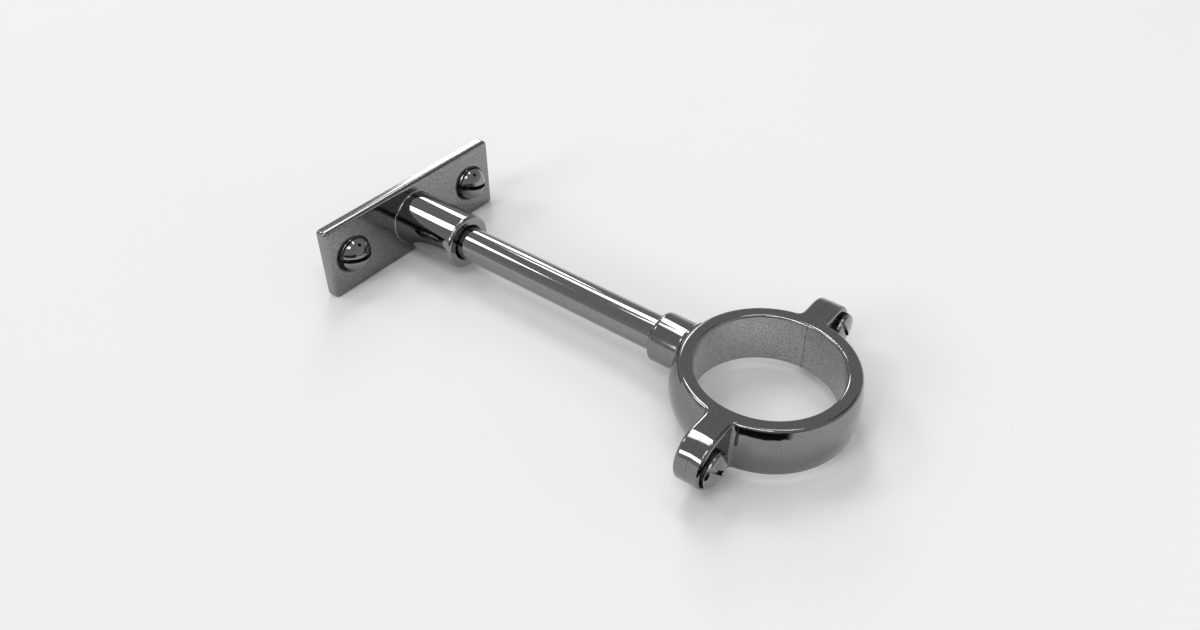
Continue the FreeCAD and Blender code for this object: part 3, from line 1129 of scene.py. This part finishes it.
@dataclass
class Studio:
    """Pale floor, soft lamps, a black flag, a black sheet of painted shade on the floor that only mirrors
    see, a grey room and the camera.
    """

    floor_level: float = cad_box[0][2]
    floor_side: float = 9.0
    paper: Paper = Paper()
    room_low: float = 0.46
    room_high: float = 0.38
    room_span: Pair = (0.0, 0.55)
    horizon_span: Pair = (0.16, 0.02)
    dark_turn: float = -140.0
    dark_side: Pair = (0.68, 0.84)
    dark_top: Pair = (0.34, 0.14)
    dark_depth: float = 0.95
    eye: tuple[float, float, float] = (-0.170183, -0.209682, 0.174671)
    eye_azimuth: float = -52.713
    eye_elevation: float = 39.265
    eye_roll: float = 0.149
    lens: float = 30.314
    sensor: float = 36.0
    shift: Pair = (-0.00986, -0.00227)
    clip_start: float = 0.01
    # Near edge of the black sheet of painted shade on the floor: its mirror image is the dark band on the
    # ring's front wall
    shade_sheet_edge: tuple[Pair, ...] = (
        (-0.0545, -0.1300),
        (-0.0535, -0.1400),
        (-0.0500, -0.1490),
        (-0.0455, -0.1555),
        (-0.0415, -0.1625),
        (-0.0370, -0.1690),
        (-0.0325, -0.1735),
        (-0.0285, -0.1790),
        (-0.0260, -0.1900),
    )
    shade_sheet_lift: float = 0.2 * MM
    shade_sheet_reach: float = 0.8
    shade_sheet_focus: Pair = (-0.010, -0.134)
    shade_sheet_fade_turn: float = -32.0
    shade_sheet_fade: Pair = (-0.09, 0.09)
    dark_sheet_black: float = 0.012
    flag_radius: float = 0.08
    flag_sides: int = 32
    flag_turn: float = -44.0
    flag_rise: float = 41.0
    flag_distance: float = 0.45
    target: tuple[float, float, float] = (0.0, -0.075, 0.0)
    lamp_distance: float = 2.0
    lamps: tuple[Softbox, ...] = (
        Softbox(Side.RIGHT_LOW, 44.5, 31.0, 12.5, 12.0, 8.4),
        Softbox(Side.RIGHT_HIGH, 48.5, 56.0, 14.5, 18.0, 6.4),
        Softbox(Side.BACK, 113.5, 45.5, 14.7, 10.0, 7.0),
        Softbox(Side.TOP_BACK, 76.0, 68.0, 21.5, 7.5, 4.1),
        Softbox(Side.TOP_RIGHT, -21.0, 76.0, 23.4, 8.2, 3.7),
        Softbox(Side.LEFT, 166.0, 25.5, 21.7, 11.0, 5.9),
        Softbox(Side.LEFT_HIGH, 179.0, 47.0, 10.0, 20.0, 5.0),
        Softbox(Side.FRONT, -154.0, 61.0, 21.0, 14.0, 4.2),
    )

    def build(self) -> None:
        """Sets up the stage."""
        bpy.context.scene.view_settings.view_transform = "Standard"
        self.lay_floor()
        # Painted shade: a black sheet on the floor that only mirrors see, where the camera sees pale paper
        self.hang_flag("shade_sheet", *self.shade_sheet(), fades=True)
        self.hang_flag("round_flag", *self.round_flag(), fades=False)
        self.paint_room()
        for lamp in self.lamps:
            lamp.hang(Vector(self.target), self.lamp_distance)
        self.place_camera()

    def lay_floor(self) -> None:
        """Lays the paper under the bracket."""
        half = self.floor_side / 2.0
        corners = [(-half, -half), (half, -half), (half, half), (-half, half)]
        mesh = bpy.data.meshes.new("floor_paper")
        mesh.from_pydata([(x, y, self.floor_level) for x, y in corners], [], [(0, 1, 2, 3)])
        mesh.materials.append(self.paper.material())
        floor = stand("floor_paper", mesh)

    def shade_sheet(self) -> tuple[list[Vector], list[tuple]]:
        """Shapes the black sheet of painted shade on the floor between the ring and the camera, hidden from
        the camera.

        Returns:
            Its corners and its faces: strips that run out from the near edge.
        """
        level = self.floor_level + self.shade_sheet_lift
        near = [Vector((x, y, level)) for x, y in self.shade_sheet_edge]
        focus = Vector(self.shade_sheet_focus + (level,))
        far = [focus + self.shade_sheet_reach * (corner - focus).normalized() for corner in near]
        count = len(near)
        strips = [(step, step + 1, count + step + 1, count + step) for step in range(count - 1)]
        return near + far, strips

    def round_flag(self) -> tuple[list[Vector], list[tuple]]:
        """Shapes the round cloth that hangs high up to the right of the picture.

        Returns:
            Its corners and its one face.
        """
        way = compass(self.flag_turn, self.flag_rise)
        aside = way.orthogonal().normalized()
        above = way.cross(aside)
        turns = [math.tau * step / self.flag_sides for step in range(self.flag_sides)]
        rim = [self.flag_radius * (math.cos(turn) * aside + math.sin(turn) * above) for turn in turns]
        return [self.flag_distance * way + corner for corner in rim], [tuple(range(self.flag_sides))]

    def hang_flag(self, name: str, corners: list[Vector], faces: list[tuple], fades: bool) -> None:
        """Hangs a black sheet that only mirrors show: the round flag, or the painted shade on the floor.

        Args:
            name: Name of the sheet.
            corners: Its corners.
            faces: Its faces, as numbers of corners.
            fades: Whether it thins out towards the right of the picture.
        """
        mesh = bpy.data.meshes.new(name)
        mesh.from_pydata(corners, [], faces)
        mesh.materials.append(self.dark_sheet_material(name, fades))
        flag = stand(name, mesh)
        flag.visible_camera = False
        flag.visible_diffuse = False
        flag.visible_shadow = False

    def dark_sheet_material(self, name: str, fades: bool) -> bpy.types.Material:
        """Builds a black sheet: the round flag's cloth, or the painted shade on the floor.

        Args:
            name: Name of the material.
            fades: Whether the sheet thins out towards the right of the picture.

        Returns:
            A new node material.
        """
        sheet = Canvas(name)
        nap = sheet.node("ShaderNodeBsdfDiffuse", {"Color": grey(self.dark_sheet_black)}).outputs[0]
        if fades:
            focus = self.shade_sheet_focus + (self.floor_level,)
            away = sheet.vector("SUBTRACT", sheet.place, focus).outputs[0]
            away = sheet.vector("NORMALIZE", away).outputs[0]
            turned = sheet.vector("DOT_PRODUCT", away, compass(self.shade_sheet_fade_turn, 0.0)).outputs["Value"]
            gap = sheet.node("ShaderNodeBsdfTransparent").outputs[0]
            nap = sheet.shared(sheet.ease(turned, *self.shade_sheet_fade), nap, gap)
        return sheet.done(nap)

    def paint_room(self) -> None:
        """Paints the room: grey, paler towards the floor, with a low dark side hidden from the camera."""
        world = bpy.data.worlds.new("studio_room")
        bpy.context.scene.world = world
        world.use_nodes = True
        sheet = Wiring(world.node_tree)
        way = sheet.node("ShaderNodeTexCoord").outputs["Generated"]
        _, _, up = sheet.parts_of(way)
        walls = sheet.ease(up, *self.room_span, self.room_low, self.room_high)
        walls = sheet.mix(sheet.ease(up, *self.horizon_span), walls, self.paper.far_white)
        facing = sheet.vector("DOT_PRODUCT", way, compass(self.dark_turn, 0.0)).outputs["Value"]
        corner = sheet.product(sheet.ease(facing, *self.dark_side), sheet.ease(up, *self.dark_top))
        unseen = sheet.math("SUBTRACT", 1.0, sheet.node("ShaderNodeLightPath").outputs["Is Camera Ray"])
        shade = sheet.product(corner, unseen, self.dark_depth)
        level = sheet.product(walls, sheet.math("SUBTRACT", 1.0, shade))
        light = sheet.node("ShaderNodeBackground", {"Color": grey(1.0), "Strength": level})
        sheet.node("ShaderNodeOutputWorld", {"Surface": light.outputs[0]})

    def place_camera(self) -> None:
        """Puts the camera where the photograph was taken from."""
        turn, rise, roll = (math.radians(a) for a in (self.eye_azimuth, self.eye_elevation, self.eye_roll))
        back = Vector((math.sin(turn) * math.cos(rise), -math.cos(turn) * math.cos(rise), math.sin(rise)))
        level = Vector((0.0, 0.0, 1.0)).cross(back).normalized()
        upright = back.cross(level)
        right = math.cos(roll) * level + math.sin(roll) * upright
        up = math.cos(roll) * upright - math.sin(roll) * level
        data = bpy.data.cameras.new("photo_camera")
        data.lens = self.lens
        data.sensor_width = self.sensor
        data.shift_x, data.shift_y = self.shift
        data.clip_start = self.clip_start
        camera = stand("photo_camera", data)
        camera.matrix_world = Matrix.Translation(self.eye) @ Matrix((right, up, back)).transposed().to_4x4()
        bpy.context.scene.camera = camera


def main() -> None:
    """Builds the stage and then the bracket, from the wall outwards."""
    logging.basicConfig(level=logging.INFO, format="%(name)s: %(message)s")
    for part in (Studio(), WallPlate(), StandOff(), RingClamp(), WallScrews()):
        part.build()
        log.info("%s done", type(part).__name__)


if __name__ == "__main__":
    main()
